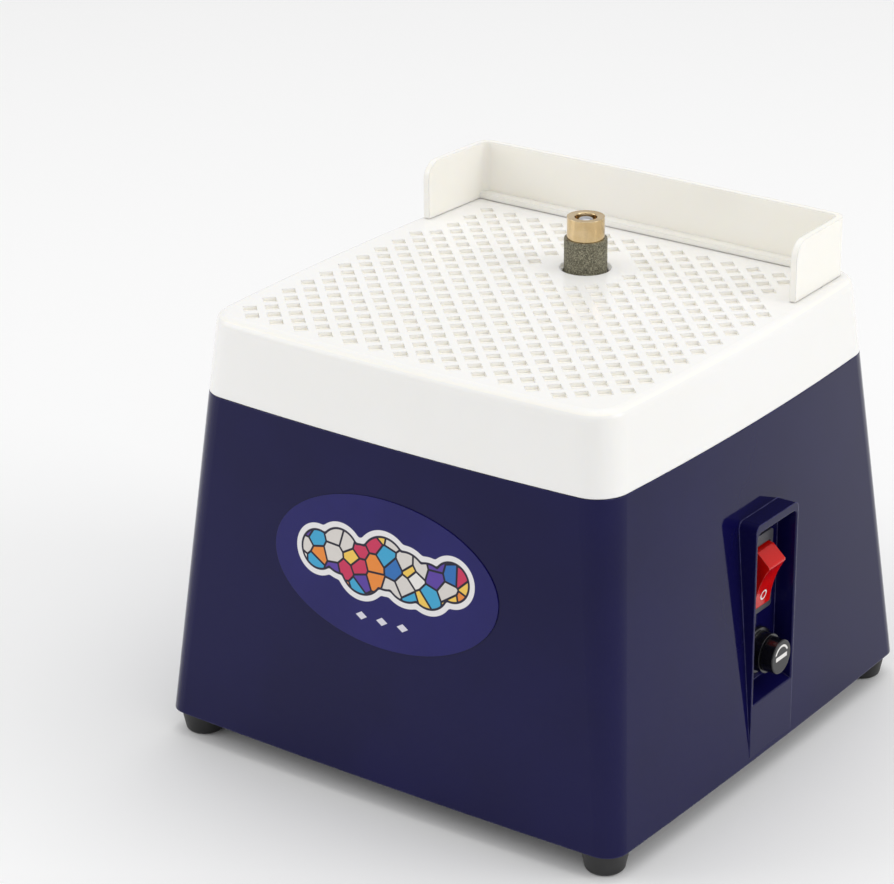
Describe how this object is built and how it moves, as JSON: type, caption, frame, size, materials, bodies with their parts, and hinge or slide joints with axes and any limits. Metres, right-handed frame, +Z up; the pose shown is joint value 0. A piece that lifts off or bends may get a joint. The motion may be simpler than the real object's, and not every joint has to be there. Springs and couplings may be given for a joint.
{
  "type": "glass grinder",
  "caption": "Bench glass grinder with a tapered case, lift-off lattice worktop over a water tray, splash guard and a motor-driven diamond bit.",
  "frame": {"origin": "on the surface the feet stand on, under the middle of the case", "axes": "+Z up through the worktop, -Y towards the user, +X out of the side with the switch"},
  "size_m": [0.206, 0.2029, 0.1875],
  "materials": {
    "case_plastic": "polished moulded ABS, very dark navy",
    "worktop_plastic": "polished moulded ABS, cream",
    "guard_plastic": "polished moulded styrene, warm white",
    "base_plastic": "textured moulded ABS",
    "badge_film": "printed vinyl film with a clear coat",
    "foot_rubber": "moulded rubber",
    "grommet_rubber": "moulded rubber",
    "screw_steel": "zinc plated",
    "bit_brass": "turned and polished",
    "diamond_grit": "nickel-bonded diamond grit, rough",
    "shaft_steel": "ground",
    "tray_plastic": "moulded polypropylene",
    "sponge_foam": "open-cell cellulose sponge",
    "slinger_nylon": "turned nylon",
    "can_steel": "black oxide",
    "plate_steel": "zinc plated sheet",
    "bell_aluminium": "die cast",
    "bearing_steel": "ground",
    "magnet_ferrite": "sintered",
    "lamination_steel": "stacked sheet",
    "winding_copper": "enamelled copper wire",
    "commutator_copper": "turned copper",
    "brush_carbon": "pressed carbon",
    "holder_phenolic": "moulded phenolic",
    "spring_steel": "drawn wire",
    "switch_nylon": "moulded nylon",
    "rocker_plastic": "moulded polycarbonate, red",
    "terminal_brass": "stamped",
    "fuse_phenolic": "moulded phenolic, black",
    "fuse_cap_plastic": "moulded phenolic, black, with a white printed mark",
    "fuse_glass": "drawn tube",
    "fuse_nickel": "nickel plated brass",
    "gland_nylon": "moulded nylon",
    "board_laminate": "paper phenolic board",
    "rectifier_epoxy": "moulded epoxy",
    "wire_pvc": "extruded PVC"
  },
  "bodies": {
    "root": {"badge": "badge_film", "base_plate": "base_plastic", "base_screws": "screw_steel", "bridge_rectifier": "rectifier_epoxy", "brush_caps": "holder_phenolic", "brush_holders": "holder_phenolic", "brush_springs": "spring_steel", "brushes": "brush_carbon", "cable_gland": "gland_nylon", "field_magnets": "magnet_ferrite", "foot_front_left": "foot_rubber", "foot_front_right": "foot_rubber", "foot_nuts": "screw_steel", "foot_rear_left": "foot_rubber", "foot_rear_right": "foot_rubber", "foot_screws": "screw_steel", "fuse_holder_body": "fuse_phenolic", "fuse_holder_nut": "fuse_phenolic", "gland_nut": "gland_nylon", "housing_shell": "case_plastic", "internal_wires": "wire_pvc", "lower_bearing_outer_race": "bearing_steel", "lower_bell": "bell_aluminium", "motor_can": "can_steel", "motor_plate": "plate_steel", "motor_screws": "screw_steel", "plate_screws": "screw_steel", "rectifier_board": "board_laminate", "rubber_grommets": "grommet_rubber", "switch_body": "switch_nylon", "switch_terminals": "terminal_brass", "tie_bolts": "screw_steel", "upper_bearing_outer_race": "bearing_steel", "upper_bell": "bell_aluminium"},
    "rotor": {"motor_shaft": "shaft_steel", "armature_core": "lamination_steel", "armature_windings": "winding_copper", "commutator": "commutator_copper", "water_slinger": "slinger_nylon", "lower_bearing_inner_race": "bearing_steel", "upper_bearing_inner_race": "bearing_steel", "lower_bearing_balls": "bearing_steel", "upper_bearing_balls": "bearing_steel"},
    "bit": {"bit_core": "bit_brass", "diamond_sleeve": "diamond_grit", "grub_screw": "screw_steel"},
    "tray": {"water_tray": "tray_plastic", "sponge": "sponge_foam"},
    "worktop": {"worktop_cover": "worktop_plastic"},
    "guard": {"splash_guard": "guard_plastic"},
    "rocker": {"switch_rocker": "rocker_plastic"},
    "fuse_drawer": {"fuse_carrier": "fuse_phenolic", "fuse_tube": "fuse_glass", "fuse_ends": "fuse_nickel"},
    "fuse_turn_cap": {"fuse_cap": "fuse_cap_plastic"}
  },
  "joints": [
    {"name": "motor_spin", "type": "hinge", "parent": "root", "child": "rotor", "pos_m": [-0.0015, 0.032, 0.08], "axis": [0, 0, 1], "continuous": true},
    {"name": "bit_lift", "type": "slide", "parent": "rotor", "child": "bit", "axis": [0, 0, 1], "range_m": [0, 0.012]},
    {"name": "tray_lift", "type": "slide", "parent": "root", "child": "tray", "axis": [0, 0, 1], "range_m": [0, 0.03]},
    {"name": "worktop_lift", "type": "slide", "parent": "tray", "child": "worktop", "axis": [0, 0, 1], "range_m": [0, 0.05]},
    {"name": "guard_lift", "type": "slide", "parent": "worktop", "child": "guard", "axis": [0, 0, 1], "range_m": [0, 0.03]},
    {"name": "switch_rock", "type": "hinge", "parent": "root", "child": "rocker", "pos_m": [0.093, 0.0016, 0.0781], "axis": [0, -1, 0], "range_deg": [0, 20]},
    {"name": "fuse_pull", "type": "slide", "parent": "root", "child": "fuse_drawer", "axis": [1, 0, 0], "range_m": [0, 0.03]},
    {"name": "fuse_cap_turn", "type": "hinge", "parent": "fuse_drawer", "child": "fuse_turn_cap", "pos_m": [0.1, 0.0018, 0.0472], "axis": [1, 0, 0], "range_deg": [0, 90]}
  ]
}
